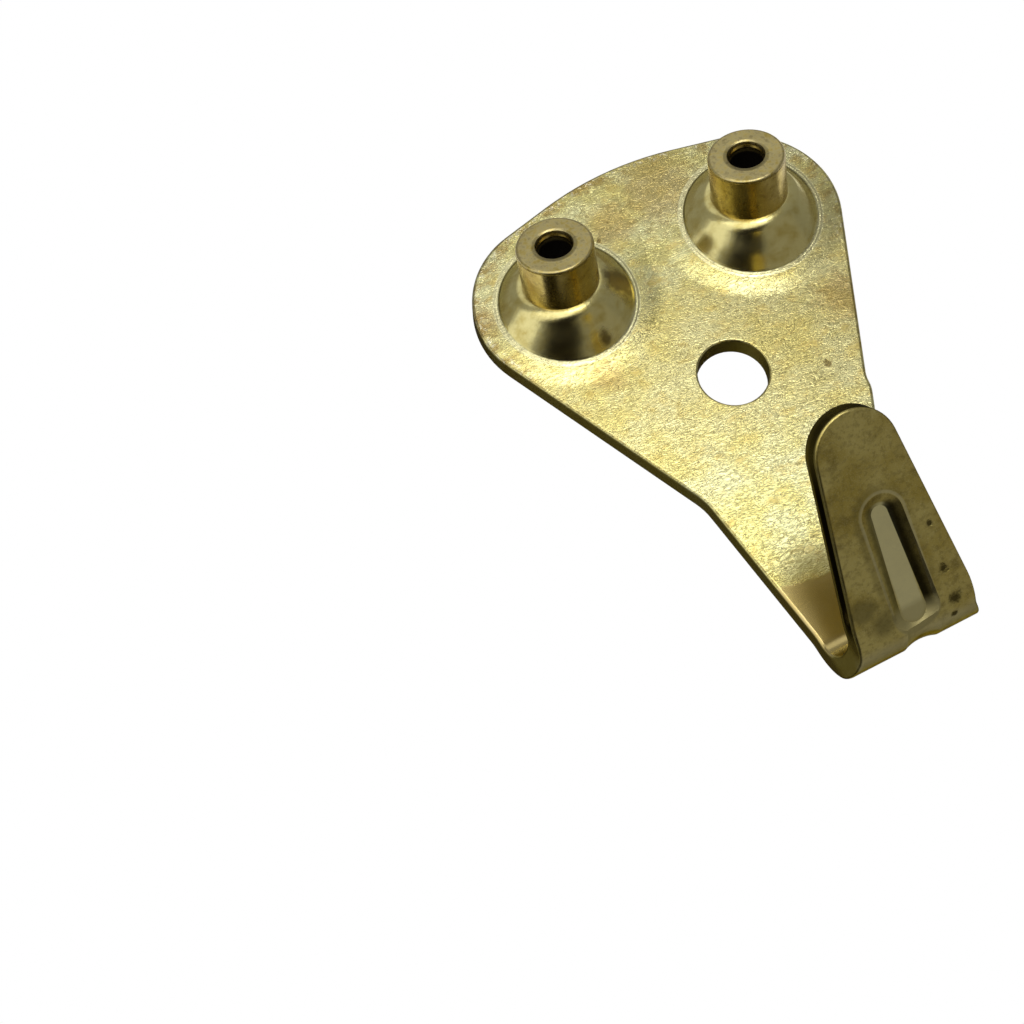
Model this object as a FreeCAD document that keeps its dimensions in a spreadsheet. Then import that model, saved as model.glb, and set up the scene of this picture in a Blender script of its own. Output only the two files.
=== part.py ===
import FreeCAD, Part
import Sketcher
import math
import os

# Picture hook in millimetres. X runs to the right as seen from the front, Z runs up and the front
# faces -Y. The wall plane is Y = 0, and the origin is the middle of the central hole on that plane.

SIZES = [
    # sheet
    ("sheet_thickness", "2.1"),
    ("edge_radius", "0.3"),
    ("hole_diameter", "6.4"),
    ("hole_edge_radius", "0.2"),
    # outline of the plate, seen from the front
    ("top_height", "23.84"),
    ("top_radius", "30"),
    ("shoulder_angle", "12.8"),
    ("corner_radius", "8.7"),
    ("flank_half_width", "12.84"),
    ("flank_angle", "24.1"),
    ("edge_step", "0.35"),
    ("edge_step_drop", "5.4"),
    ("edge_step_radius", "3"),
    ("kink_radius", "6"),
    ("neck_angle", "7"),
    ("neck_end_radius", "8"),
    # fold at the bottom
    ("fold_drop", "25.65"),
    ("fold_half_width", "6.58"),
    ("bend_inner_radius", "2.4"),
    ("fold_trim_radius", "3"),
    # tongue
    ("tongue_angle", "41"),
    ("tongue_half_width", "5.63"),
    ("tongue_taper", "7.3"),
    ("tongue_start_radius", "8"),
    ("tongue_length", "18.4"),
    # rib pressed into the tongue
    ("rib_offset", "0.2"),
    ("rib_length", "8.85"),
    ("rib_depth", "0.65"),
    ("rib_top_rim", "1.85"),
    ("rib_top_floor", "0.75"),
    ("rib_end_rim", "2.2"),
    ("rib_end_floor", "1.2"),
    ("bead_growth", "0.5"),
    ("rib_overlap", "0.3"),
    # shallow dip in which the rib runs out around the fold
    ("dip_offset", "0.5"),
    ("dip_depth", "0.35"),
    ("dip_radius", "4.3"),
    ("dip_start", "0.02"),
    # bosses that carry the nail guides
    ("boss_spacing", "19.2"),
    ("boss_level", "13.45"),
    ("boss_rim_diameter", "12.25"),
    ("boss_top_diameter", "8.2"),
    ("boss_shoulder_radius", "1.3"),
    ("boss_rim_radius", "0.4"),
    ("boss_wall", "1.4"),
    ("hollow_back_diameter", "10.4"),
    ("hollow_top_diameter", "6"),
    # nail guides
    ("guide_spacing", "19.5"),
    ("guide_level", "13.58"),
    ("guide_tilt", "16"),
    ("seat_height", "2.55"),
    ("guide_head_diameter", "7"),
    ("guide_head_length", "4.6"),
    ("guide_edge_radius", "0.3"),
    ("spigot_diameter", "4.6"),
    ("spigot_clearance", "0.05"),
    ("flange_diameter", "5.6"),
    ("flange_thickness", "0.6"),
    ("flange_clearance", "0.02"),
    ("bore_diameter", "3.05"),
    ("countersink_diameter", "3.5"),
    ("countersink_depth", "0.45"),
]

doc = FreeCAD.newDocument("picture_hook")
sheet = doc.addObject("Spreadsheet::Sheet", "Sizes")
for row, (alias, value) in enumerate(SIZES, start=1):
    sheet.set("A%d" % row, alias)
    sheet.set("B%d" % row, value)
    sheet.setAlias("B%d" % row, alias)
doc.recompute()

# Lengths that follow from the driving sizes, as expressions for the features
OUTER_RADIUS = "(Sizes.bend_inner_radius + Sizes.sheet_thickness)"
TONGUE_SIN = "sin(Sizes.tongue_angle * 1 deg)"
TONGUE_COS = "cos(Sizes.tongue_angle * 1 deg)"
TILT_SIN = "sin(Sizes.guide_tilt * 1 deg)"
TILT_COS = "cos(Sizes.guide_tilt * 1 deg)"

X_AXIS = FreeCAD.Vector(1, 0, 0)
ORIGIN = (-1, 1)
H_AXIS = -1
V_AXIS = -2
START, END, CENTRE = 1, 2, 3


def size(alias):
    return float(getattr(sheet, alias))


def vector(point):
    return FreeCAD.Vector(point[0], point[1], 0)


def along(point, direction, distance):
    return (point[0] + direction[0] * distance, point[1] + direction[1] * distance)


def meet(first_normal, first_offset, second_normal, second_offset):
    """Point where two lines cross, each given by its normal and its distance from the origin."""
    cross = first_normal[0] * second_normal[1] - first_normal[1] * second_normal[0]
    x = (first_offset * second_normal[1] - second_offset * first_normal[1]) / cross
    y = (first_normal[0] * second_offset - second_normal[0] * first_offset) / cross
    return (x, y)


def new_sketch(body, name, role):
    """Empty sketch on one of the body's own origin planes."""
    plane = [item for item in body.Origin.OriginFeatures if item.Role == role][0]
    sketch = body.newObject("Sketcher::SketchObject", name)
    sketch.AttachmentSupport = [(plane, "")]
    sketch.MapMode = "FlatFace"
    return sketch


def shift(sketch, offsets):
    """Move a sketch off its plane; the offsets are expressions along the plane's own axes."""
    for axis, expression in offsets.items():
        sketch.setExpression("AttachmentOffset.Base.%s" % axis, expression)


def turn_about_x(sketch, angle):
    """Turn a sketch about X; the angle is an expression in degrees."""
    sketch.AttachmentOffset = FreeCAD.Placement(FreeCAD.Vector(), FreeCAD.Rotation(X_AXIS, 45))
    sketch.setExpression("AttachmentOffset.Rotation.Angle", "(%s) * 1 deg" % angle)


def bind(sketch, constraint, expression):
    index = sketch.addConstraint(constraint)
    sketch.setExpression("Constraints[%d]" % index, expression)


def bind_radius(sketch, arc, alias):
    radius = sketch.Geometry[arc].Radius
    bind(sketch, Sketcher.Constraint("Radius", arc, radius), "Sizes.%s" % alias)


def bind_angle(sketch, line, expression):
    geometry = sketch.Geometry[line]
    run = geometry.EndPoint.sub(geometry.StartPoint)
    angle = math.atan2(run.y, run.x)
    bind(sketch, Sketcher.Constraint("Angle", line, angle), "(%s) * 1 deg" % expression)


def bind_x(sketch, geometry, position, expression):
    x = sketch.getPoint(geometry, position).x
    bind(sketch, Sketcher.Constraint("DistanceX", *ORIGIN, geometry, position, x), expression)


def bind_y(sketch, geometry, position, expression):
    y = sketch.getPoint(geometry, position).y
    bind(sketch, Sketcher.Constraint("DistanceY", *ORIGIN, geometry, position, y), expression)


class Chain:
    """Lines and arcs of one sketch, drawn end to end and joined afterwards."""

    def __init__(self, sketch):
        self.sketch = sketch
        self.links = []

    def line(self, start, end):
        index = self.sketch.addGeometry(Part.LineSegment(vector(start), vector(end)))
        self.links.append((index, START, END))
        return index

    def arc(self, centre, start, end, turns_left):
        radius = math.dist(centre, start)
        first = math.atan2(start[1] - centre[1], start[0] - centre[0])
        last = math.atan2(end[1] - centre[1], end[0] - centre[0])
        circle = Part.Circle(vector(centre), FreeCAD.Vector(0, 0, 1), radius)
        if turns_left:
            index = self.sketch.addGeometry(Part.ArcOfCircle(circle, first, last))
            self.links.append((index, START, END))
        else:
            index = self.sketch.addGeometry(Part.ArcOfCircle(circle, last, first))
            self.links.append((index, END, START))
        return index

    def start_of(self, index):
        return [link[1] for link in self.links if link[0] == index][0]

    def end_of(self, index):
        return [link[2] for link in self.links if link[0] == index][0]

    def close(self, corners):
        """Join each piece to the next: with a corner after the listed ones, smoothly elsewhere."""
        for place, link in enumerate(self.links):
            following = self.links[(place + 1) % len(self.links)]
            kind = "Coincident" if link[0] in corners else "Tangent"
            ends = (link[0], link[2], following[0], following[1])
            self.sketch.addConstraint(Sketcher.Constraint(kind, *ends))


def polygon(sketch, corners):
    """Closed polygon; each corner is a pair of numbers and a pair of expressions for them."""
    count = len(corners)
    lines = []
    for place in range(count):
        start = vector(corners[place][0])
        end = vector(corners[(place + 1) % count][0])
        lines.append(sketch.addGeometry(Part.LineSegment(start, end)))
    for place, line in enumerate(lines):
        following = lines[(place + 1) % count]
        sketch.addConstraint(Sketcher.Constraint("Coincident", line, END, following, START))
        bind_x(sketch, line, START, corners[place][1][0])
        bind_y(sketch, line, START, corners[place][1][1])


def circle(sketch, x_expression, x, y_expression, y, diameter_expression, diameter):
    middle = FreeCAD.Vector(x, y, 0)
    index = sketch.addGeometry(Part.Circle(middle, FreeCAD.Vector(0, 0, 1), diameter / 2))
    bind_x(sketch, index, CENTRE, x_expression)
    bind_y(sketch, index, CENTRE, y_expression)
    bind(sketch, Sketcher.Constraint("Diameter", index, diameter), diameter_expression)


def fillet(body, name, base, edges, alias):
    feature = body.newObject("PartDesign::Fillet", name)
    feature.Base = (base, edges)
    feature.setExpression("Radius", "Sizes.%s" % alias)
    doc.recompute()
    return feature


def draw_plate_outline(body):
    """Front view of the flat plate: rounded top, straight flanks, kinks and a neck."""
    sketch = new_sketch(body, "plate_outline", "XZ_Plane")
    chain = Chain(sketch)
    top_radius = size("top_radius")
    corner_radius = size("corner_radius")
    step_radius = size("edge_step_radius")
    kink_radius = size("kink_radius")
    end_radius = size("neck_end_radius")
    fold_half_width = size("fold_half_width")
    fold_drop = size("fold_drop")
    shoulder = math.radians(size("shoulder_angle"))
    flank = math.radians(size("flank_angle"))
    neck = math.radians(size("neck_angle"))
    top_middle = (0, size("top_height") - top_radius)
    flank_offset = size("flank_half_width") * math.cos(flank)

    sides = {}
    for side in (1, -1):
        step = size("edge_step") if side > 0 else 0.0
        shoulder_normal = (side * math.sin(shoulder), math.cos(shoulder))
        flank_normal = (side * math.cos(flank), -math.sin(flank))
        neck_normal = (side * math.cos(neck), -math.sin(neck))
        shoulder_offset = top_middle[1] * math.cos(shoulder) + top_radius
        corner_middle = meet(shoulder_normal, shoulder_offset - corner_radius,
                             flank_normal, flank_offset - corner_radius)
        fold_end = (side * fold_half_width, -fold_drop)
        end_middle = (side * (fold_half_width + end_radius), -fold_drop)
        neck_end = along(end_middle, neck_normal, -end_radius)
        neck_offset = neck_end[0] * neck_normal[0] + neck_end[1] * neck_normal[1]
        kink_middle = meet(flank_normal, flank_offset + step + kink_radius,
                           neck_normal, neck_offset + kink_radius)
        sides[side] = {
            "top_end": along(top_middle, shoulder_normal, top_radius),
            "corner_start": along(corner_middle, shoulder_normal, corner_radius),
            "corner_middle": corner_middle,
            "flank_start": along(corner_middle, flank_normal, corner_radius),
            "flank_normal": flank_normal,
            "flank_end": along(kink_middle, flank_normal, -kink_radius),
            "kink_middle": kink_middle,
            "neck_start": along(kink_middle, neck_normal, -kink_radius),
            "neck_end": neck_end,
            "end_middle": end_middle,
            "fold_end": fold_end,
        }
    right = sides[1]
    left = sides[-1]

    # The right flank has a small step outward where two press cuts meet
    normal = right["flank_normal"]
    downward = (normal[1], -normal[0])
    step_turn = math.acos(1 - size("edge_step") / (2 * step_radius))
    step_start = (size("flank_half_width") - size("edge_step_drop") * math.tan(flank),
                  -size("edge_step_drop"))
    half_run = step_radius * math.sin(step_turn)
    step_middle = along(along(step_start, downward, half_run), normal, size("edge_step") / 2)
    step_end = along(along(step_start, downward, 2 * half_run), normal, size("edge_step"))

    top = chain.arc(top_middle, left["top_end"], right["top_end"], False)
    right_shoulder = chain.line(right["top_end"], right["corner_start"])
    right_corner = chain.arc(right["corner_middle"], right["corner_start"], right["flank_start"], False)
    right_flank = chain.line(right["flank_start"], step_start)
    step_out = chain.arc(along(step_start, normal, step_radius), step_start, step_middle, True)
    step_back = chain.arc(along(step_end, normal, -step_radius), step_middle, step_end, False)
    lower_flank = chain.line(step_end, right["flank_end"])
    right_kink = chain.arc(right["kink_middle"], right["flank_end"], right["neck_start"], True)
    right_neck = chain.line(right["neck_start"], right["neck_end"])
    right_end = chain.arc(right["end_middle"], right["neck_end"], right["fold_end"], True)
    bottom = chain.line(right["fold_end"], left["fold_end"])
    left_end = chain.arc(left["end_middle"], left["fold_end"], left["neck_end"], True)
    left_neck = chain.line(left["neck_end"], left["neck_start"])
    left_kink = chain.arc(left["kink_middle"], left["neck_start"], left["flank_end"], True)
    left_flank = chain.line(left["flank_end"], left["flank_start"])
    left_corner = chain.arc(left["corner_middle"], left["flank_start"], left["corner_start"], False)
    left_shoulder = chain.line(left["corner_start"], left["top_end"])
    chain.close(corners=(right_end, bottom))

    for arc, alias in ((top, "top_radius"), (right_corner, "corner_radius"),
                       (left_corner, "corner_radius"), (step_out, "edge_step_radius"),
                       (step_back, "edge_step_radius"), (right_kink, "kink_radius"),
                       (left_kink, "kink_radius"), (right_end, "neck_end_radius"),
                       (left_end, "neck_end_radius")):
        bind_radius(sketch, arc, alias)
    for line, expression in ((right_shoulder, "-Sizes.shoulder_angle"),
                             (left_shoulder, "Sizes.shoulder_angle"),
                             (right_flank, "-90 - Sizes.flank_angle"),
                             (lower_flank, "-90 - Sizes.flank_angle"),
                             (left_flank, "90 + Sizes.flank_angle"),
                             (right_neck, "-90 - Sizes.neck_angle"),
                             (left_neck, "90 + Sizes.neck_angle")):
        bind_angle(sketch, line, expression)

    apex = sketch.addGeometry(Part.Point(FreeCAD.Vector(0, size("top_height"), 0)))
    sketch.addConstraint(Sketcher.Constraint("PointOnObject", top, CENTRE, V_AXIS))
    sketch.addConstraint(Sketcher.Constraint("PointOnObject", apex, START, V_AXIS))
    sketch.addConstraint(Sketcher.Constraint("PointOnObject", apex, START, top))
    bind_y(sketch, apex, START, "Sizes.top_height")
    for flank_line, side in ((right_flank, "Sizes.flank_half_width"),
                             (left_flank, "-Sizes.flank_half_width")):
        sign = -1 if side.startswith("-") else 1
        place = FreeCAD.Vector(sign * size("flank_half_width"), 0, 0)
        level = sketch.addGeometry(Part.Point(place))
        sketch.addConstraint(Sketcher.Constraint("PointOnObject", level, START, H_AXIS))
        sketch.addConstraint(Sketcher.Constraint("PointOnObject", level, START, flank_line))
        bind_x(sketch, level, START, side)
    bind_y(sketch, step_out, chain.start_of(step_out), "-Sizes.edge_step_drop")
    bind(sketch, Sketcher.Constraint("Distance", lower_flank, START, right_flank, size("edge_step")),
         "Sizes.edge_step")
    for arc, position, side in ((right_end, chain.end_of(right_end), ""),
                                (left_end, chain.start_of(left_end), "-")):
        bind_x(sketch, arc, position, side + "Sizes.fold_half_width")
        bind_y(sketch, arc, position, "-Sizes.fold_drop")
        sketch.addConstraint(Sketcher.Constraint("Horizontal", arc, CENTRE, arc, position))
    return sketch


def draw_fold_section(body):
    """Cross-section of the sheet where the fold begins, with the fold's axis."""
    sketch = new_sketch(body, "fold_section", "XY_Plane")
    shift(sketch, {"z": "-Sizes.fold_drop"})
    half = size("fold_half_width")
    thick = size("sheet_thickness")
    half_text = "Sizes.fold_half_width"
    thick_text = "-Sizes.sheet_thickness"
    polygon(sketch, [((-half, 0), ("-" + half_text, "0")), ((-half, -thick), ("-" + half_text, thick_text)),
                     ((half, -thick), (half_text, thick_text)), ((half, 0), (half_text, "0"))])
    draw_fold_axis(sketch)
    return sketch


def draw_fold_axis(sketch):
    """Construction line across the sheet, level with the middle of the fold."""
    half = size("fold_half_width")
    radius = size("bend_inner_radius") + size("sheet_thickness")
    ends = (FreeCAD.Vector(-half, -radius, 0), FreeCAD.Vector(half, -radius, 0))
    axis = sketch.addGeometry(Part.LineSegment(*ends), True)
    for position, side in ((START, "-"), (END, "")):
        bind_x(sketch, axis, position, side + "Sizes.fold_half_width")
        bind_y(sketch, axis, position, "-" + OUTER_RADIUS)


def draw_fold_trim(body, side):
    """Area cut away beside the fold, so that its width runs down to that of the tongue."""
    name = "fold_trim_right" if side > 0 else "fold_trim_left"
    sketch = new_sketch(body, name, "XY_Plane")
    shift(sketch, {"z": "-Sizes.fold_drop"})
    chain = Chain(sketch)
    radius = size("fold_trim_radius")
    wide = size("fold_half_width")
    narrow = size("tongue_half_width")
    tongue = math.radians(size("tongue_angle"))
    outer = size("bend_inner_radius") + size("sheet_thickness")
    first_y = -size("sheet_thickness")
    last_y = -outer - size("bend_inner_radius") * math.cos(tongue)
    far_y = -3 * outer

    # Slope of the straight piece between the two equal arcs
    run = first_y - last_y
    drop = wide - narrow
    reach = math.hypot(run, drop - 2 * radius)
    slope = math.asin(2 * radius / reach) - math.atan2(2 * radius - drop, run)
    first_arc = ((wide - radius, first_y), (wide - radius + radius * math.cos(slope),
                                            first_y - radius * math.sin(slope)))
    last_arc = ((narrow + radius, last_y), (narrow + radius - radius * math.cos(slope),
                                            last_y + radius * math.sin(slope)))

    def place(point):
        return (side * point[0], point[1])

    right_turn = side < 0
    begin = chain.arc(place(first_arc[0]), place((wide, first_y)), place(first_arc[1]), right_turn)
    chain.line(place(first_arc[1]), place(last_arc[1]))
    finish = chain.arc(place(last_arc[0]), place(last_arc[1]), place((narrow, last_y)), not right_turn)
    inner = chain.line(place((narrow, last_y)), place((narrow, far_y)))
    front = chain.line(place((narrow, far_y)), place((wide + outer, far_y)))
    outside = chain.line(place((wide + outer, far_y)), place((wide + outer, first_y)))
    back = chain.line(place((wide + outer, first_y)), place((wide, first_y)))
    chain.close(corners=(inner, front, outside, back))
    sign = "" if side > 0 else "-"
    for arc in (begin, finish):
        bind_radius(sketch, arc, "fold_trim_radius")
    for arc, position, x_text, y_text in (
            (begin, chain.start_of(begin), "Sizes.fold_half_width", "-Sizes.sheet_thickness"),
            (finish, chain.end_of(finish), "Sizes.tongue_half_width",
             "-%s - Sizes.bend_inner_radius * %s" % (OUTER_RADIUS, TONGUE_COS))):
        bind_x(sketch, arc, position, sign + x_text)
        bind_y(sketch, arc, position, y_text)
        sketch.addConstraint(Sketcher.Constraint("Horizontal", arc, CENTRE, arc, position))
    bind_y(sketch, inner, END, "-3 * " + OUTER_RADIUS)
    sketch.addConstraint(Sketcher.Constraint("Horizontal", front))
    sketch.addConstraint(Sketcher.Constraint("Vertical", outside))
    sketch.addConstraint(Sketcher.Constraint("Horizontal", back))
    bind_x(sketch, outside, START, "%s(Sizes.fold_half_width + %s)" % (sign, OUTER_RADIUS))
    return sketch


def place_on_tongue(sketch, turn, distance):
    """Put a sketch at a distance along the tongue's outer face, turned about X."""
    turn_about_x(sketch, turn)
    shift(sketch, {
        "y": "-%s * (1 + %s) - (%s) * %s" % (OUTER_RADIUS, TONGUE_COS, distance, TONGUE_SIN),
        "z": "-Sizes.fold_drop - %s * %s + (%s) * %s" % (OUTER_RADIUS, TONGUE_SIN, distance, TONGUE_COS),
    })


def draw_tongue(body):
    """Outer face of the tongue: tapered sides and a round tip."""
    sketch = new_sketch(body, "tongue_outline", "XY_Plane")
    place_on_tongue(sketch, "90 + Sizes.tongue_angle", "0")
    chain = Chain(sketch)
    half = size("tongue_half_width")
    radius = size("tongue_start_radius")
    length = size("tongue_length")
    taper = math.radians(size("tongue_taper"))
    offset = (half - radius) * math.cos(taper) + radius
    tip_radius = (offset - length * math.sin(taper)) / (1 - math.sin(taper))
    tip_middle = (0, length - tip_radius)
    normals = {1: (math.cos(taper), math.sin(taper)), -1: (-math.cos(taper), math.sin(taper))}
    middles = {1: (half - radius, 0), -1: (radius - half, 0)}
    starts = {side: along(middles[side], normals[side], radius) for side in (1, -1)}
    ends = {side: along(tip_middle, normals[side], tip_radius) for side in (1, -1)}

    right_start = chain.arc(middles[1], (half, 0), starts[1], True)
    right_side = chain.line(starts[1], ends[1])
    tip = chain.arc(tip_middle, ends[1], ends[-1], True)
    left_side = chain.line(ends[-1], starts[-1])
    left_start = chain.arc(middles[-1], starts[-1], (-half, 0), True)
    bottom = chain.line((-half, 0), (half, 0))
    chain.close(corners=(left_start, bottom))
    bind_radius(sketch, right_start, "tongue_start_radius")
    bind_radius(sketch, left_start, "tongue_start_radius")
    bind_angle(sketch, right_side, "90 + Sizes.tongue_taper")
    bind_angle(sketch, left_side, "-90 - Sizes.tongue_taper")
    apex = sketch.addGeometry(Part.Point(FreeCAD.Vector(0, length, 0)))
    sketch.addConstraint(Sketcher.Constraint("PointOnObject", apex, START, V_AXIS))
    sketch.addConstraint(Sketcher.Constraint("PointOnObject", apex, START, tip))
    bind_y(sketch, apex, START, "Sizes.tongue_length")
    for arc, position, side in ((right_start, START, ""), (left_start, END, "-")):
        bind_x(sketch, arc, position, side + "Sizes.tongue_half_width")
        sketch.addConstraint(Sketcher.Constraint("PointOnObject", arc, position, H_AXIS))
        sketch.addConstraint(Sketcher.Constraint("PointOnObject", arc, CENTRE, H_AXIS))
    return sketch


def outline_edges(shape):
    """Names of the edges between the faces of the sheet and its cut sides."""
    tongue = math.radians(size("tongue_angle"))
    across_tongue = FreeCAD.Vector(0, math.cos(tongue), math.sin(tongue))
    across_plate = FreeCAD.Vector(0, 1, 0)
    broad = []
    for face in shape.Faces:
        surface = face.Surface
        if isinstance(surface, Part.Plane):
            normal = surface.Axis
            if max(abs(normal.dot(across_plate)), abs(normal.dot(across_tongue))) > 0.9999:
                broad.append(face)
        elif isinstance(surface, Part.Cylinder) and abs(surface.Axis.dot(X_AXIS)) > 0.9999:
            broad.append(face)
    names = []
    for number, edge in enumerate(shape.Edges, start=1):
        touching = [face for face in broad if any(edge.isSame(item) for item in face.Edges)]
        if len(touching) == 1:
            names.append("Edge%d" % number)
    return names


def require(condition, message):
    if not condition:
        raise RuntimeError(message)


def add_feature(body, name, kind, sketch, reverse):
    feature = body.newObject("PartDesign::" + kind, name)
    feature.Profile = sketch
    feature.Reversed = reverse
    return feature


def finish_feature(feature, adds):
    """Recompute, and stop if the feature did not add or remove material as meant."""
    before = feature.BaseFeature.Shape.Volume if feature.BaseFeature else 0.0
    doc.recompute()
    change = feature.Shape.Volume - before
    require(change > 0 if adds else change < 0, feature.Name + " changed the volume the wrong way")
    return feature


def pad(body, name, sketch, expression, reverse=False):
    feature = add_feature(body, name, "Pad", sketch, reverse)
    feature.setExpression("Length", expression)
    return finish_feature(feature, True)


def pocket(body, name, sketch, expression, reverse=False):
    feature = add_feature(body, name, "Pocket", sketch, reverse)
    feature.setExpression("Length", expression)
    return finish_feature(feature, False)


def spin(body, name, sketch, axis, angle, reverse=False, adds=True):
    feature = add_feature(body, name, "Revolution" if adds else "Groove", sketch, reverse)
    feature.ReferenceAxis = (sketch, [axis])
    feature.setExpression("Angle", "(%s) * 1 deg" % angle)
    return finish_feature(feature, adds)


def loft(body, name, sketches, adds=True):
    feature = body.newObject("PartDesign::AdditiveLoft" if adds else "PartDesign::SubtractiveLoft", name)
    feature.Profile = sketches[0]
    feature.Sections = sketches[1:]
    feature.Ruled = True
    return finish_feature(feature, adds)


def round_edges(shape, diameter):
    """Names of the closed edges that are as long as a circle of this diameter."""
    length = math.pi * diameter
    names = []
    for number, edge in enumerate(shape.Edges, start=1):
        if edge.isClosed() and abs(edge.Length - length) < 0.001 * length:
            names.append("Edge%d" % number)
    return names


def place_on_guide_axis(sketch, height):
    """Put a sketch square to the right guide's axis, at a height above the plate's front."""
    turn_about_x(sketch, "90 - Sizes.guide_tilt")
    shift(sketch, {
        "x": "Sizes.guide_spacing / 2",
        "y": "-Sizes.sheet_thickness - (%s) * %s" % (height, TILT_COS),
        "z": "Sizes.guide_level + (%s) * %s" % (height, TILT_SIN),
    })


def draw_boss_base(body, name, depth, diameter):
    """Circle at the foot of the right boss, at a depth in front of the wall plane."""
    sketch = new_sketch(body, name, "XZ_Plane")
    shift(sketch, {"z": depth})
    circle(sketch, "Sizes.boss_spacing / 2", size("boss_spacing") / 2, "Sizes.boss_level",
           size("boss_level"), "Sizes." + diameter, size(diameter))
    return sketch


def draw_boss_top(body, name, height, diameter_expression, diameter):
    """Circle on the right guide's axis."""
    sketch = new_sketch(body, name, "XY_Plane")
    place_on_guide_axis(sketch, height)
    circle(sketch, "0", 0, "0", 0, diameter_expression, diameter)
    return sketch


def make_bosses(body):
    """Raise one hollow boss with its rivet hole and mirror it to the other side."""
    rim = draw_boss_base(body, "boss_rim", "Sizes.sheet_thickness", "boss_rim_diameter")
    top = draw_boss_top(body, "boss_top", "Sizes.seat_height", "Sizes.boss_top_diameter",
                        size("boss_top_diameter"))
    raised = loft(body, "boss", [rim, top])
    back = draw_boss_base(body, "hollow_back", "0", "hollow_back_diameter")
    inside = draw_boss_top(body, "hollow_top", "Sizes.seat_height - Sizes.boss_wall",
                           "Sizes.hollow_top_diameter", size("hollow_top_diameter"))
    hollow = loft(body, "boss_hollow", [back, inside], adds=False)
    rivet_diameter = size("spigot_diameter") + 2 * size("spigot_clearance")
    rivet = draw_boss_top(body, "rivet_hole_circle", "Sizes.seat_height",
                          "Sizes.spigot_diameter + 2 * Sizes.spigot_clearance", rivet_diameter)
    hole = pocket(body, "rivet_hole", rivet, "1.5 * Sizes.boss_wall")
    mirror = body.newObject("PartDesign::Mirrored", "both_bosses")
    plane = [item for item in body.Origin.OriginFeatures if item.Role == "YZ_Plane"][0]
    mirror.Originals = [raised, hollow, hole]
    mirror.MirrorPlane = (plane, [""])
    body.Tip = mirror
    doc.recompute()
    shoulders = fillet(body, "boss_shoulders", mirror,
                       round_edges(mirror.Shape, size("boss_top_diameter")), "boss_shoulder_radius")
    return fillet(body, "boss_rims", shoulders,
                  round_edges(shoulders.Shape, size("boss_rim_diameter")), "boss_rim_radius")


def draw_rib(body, name, distance, end, inner, half):
    """Section of the rib square to the sheet. The distance is along the tongue; end names the pair
    of widths; inner is the bead on the other face; half keeps one side only, with the middle as
    the axis that it turns about."""
    sketch = new_sketch(body, name, "XY_Plane")
    place_on_tongue(sketch, "180 + Sizes.tongue_angle", distance)
    rim = size("rib_%s_rim" % end)
    floor = size("rib_%s_floor" % end)
    growth = size("bead_growth") if inner else 0.0
    level = -size("sheet_thickness") if inner else 0.0
    overlap = size("rib_overlap")
    offset = size("rib_offset")
    low = level - size("rib_depth")
    high = level + overlap
    wide = rim + growth + (rim - floor) / size("rib_depth") * overlap
    narrow = floor + growth
    growth_text = " + Sizes.bead_growth" if inner else ""
    level_text = "-Sizes.sheet_thickness" if inner else "0"
    low_text = level_text + " - Sizes.rib_depth"
    high_text = level_text + " + Sizes.rib_overlap"
    rim_text = "Sizes.rib_%s_rim" % end
    floor_text = "Sizes.rib_%s_floor" % end
    wide_text = "(%s%s + (%s - %s) / Sizes.rib_depth * Sizes.rib_overlap)" % (
        rim_text, growth_text, rim_text, floor_text)
    narrow_text = "(%s%s)" % (floor_text, growth_text)
    middle_text = "Sizes.rib_offset"
    corners = [
        ((offset + narrow, low), (middle_text + " + " + narrow_text, low_text)),
        ((offset + wide, high), (middle_text + " + " + wide_text, high_text)),
    ]
    if half:
        corners.append(((offset, high), (middle_text, high_text)))
        corners.append(((offset, low), (middle_text, low_text)))
    else:
        corners.append(((offset - wide, high), (middle_text + " - " + wide_text, high_text)))
        corners.append(((offset - narrow, low), (middle_text + " - " + narrow_text, low_text)))
    polygon(sketch, corners)
    if half:
        ends = (FreeCAD.Vector(offset, low, 0), FreeCAD.Vector(offset, high, 0))
        axis = sketch.addGeometry(Part.LineSegment(*ends), True)
        for position, text in ((START, low_text), (END, high_text)):
            bind_x(sketch, axis, position, middle_text)
            bind_y(sketch, axis, position, text)
    return sketch


def make_rib(body):
    """Press the rib in from the outer face: a bead on the inner face, then the groove itself."""
    for inner in (True, False):
        part = "bead" if inner else "groove"
        start = draw_rib(body, part + "_start", "0", "end", inner, False)
        stop = draw_rib(body, part + "_stop", "Sizes.rib_length", "top", inner, False)
        loft(body, "rib_" + part, [start, stop], adds=inner)
        cap = draw_rib(body, part + "_cap", "Sizes.rib_length", "top", inner, True)
        spin(body, "rib_%s_top" % part, cap, "Axis0", "180", adds=inner)
        foot = draw_rib(body, part + "_foot", "0", "end", inner, True)
        spin(body, "rib_%s_foot" % part, foot, "Axis0", "180", True, inner)


def draw_dip(body):
    """Circle of the dip, just off the back face; its axis lies above that of the fold, so that the
    dip deepens around the fold and does not reach the plate."""
    sketch = new_sketch(body, "dip_circle", "XY_Plane")
    shift(sketch, {"z": "Sizes.dip_depth - Sizes.fold_drop"})
    radius = size("dip_radius")
    circle(sketch, "Sizes.dip_offset", size("dip_offset"), "Sizes.dip_radius + Sizes.dip_start",
           radius + size("dip_start"), "2 * Sizes.dip_radius", 2 * radius)
    draw_fold_axis(sketch)
    return sketch


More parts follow.
